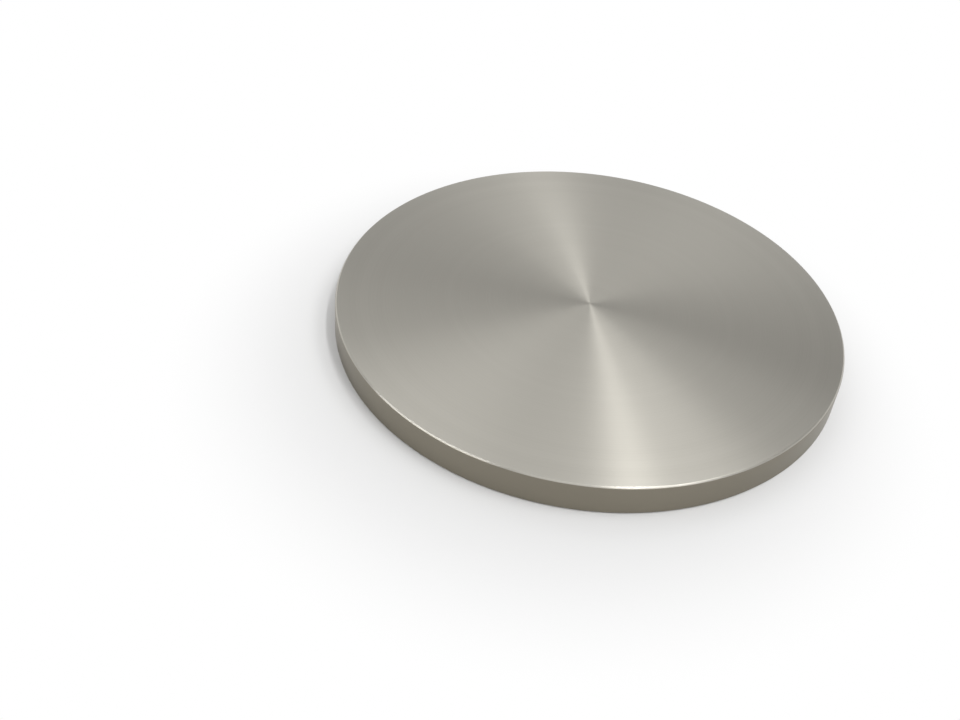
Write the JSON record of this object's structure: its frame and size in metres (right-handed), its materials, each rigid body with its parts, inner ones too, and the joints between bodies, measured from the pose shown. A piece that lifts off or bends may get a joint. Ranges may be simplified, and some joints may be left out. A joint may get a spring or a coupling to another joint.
{
  "type": "sputtering target",
  "caption": "Plain round metal sputtering target: a thick turned disc with broken edges, a flat front face that is sputtered away and a flat back face that clamps to a cooled plate.",
  "frame": {"origin": "centre of the back face, the flat face that the disc rests and clamps on", "axes": "+Z along the disc's axis of turning, out of the front face; X and Y are free, because the disc is round"},
  "size_m": [0.1016, 0.1016, 0.0063],
  "materials": {
    "turned_metal": "satin, turned: fine concentric tool marks on both faces and round the rim"
  },
  "bodies": {
    "root": {"target_disc": "turned_metal"}
  },
  "joints": []
}
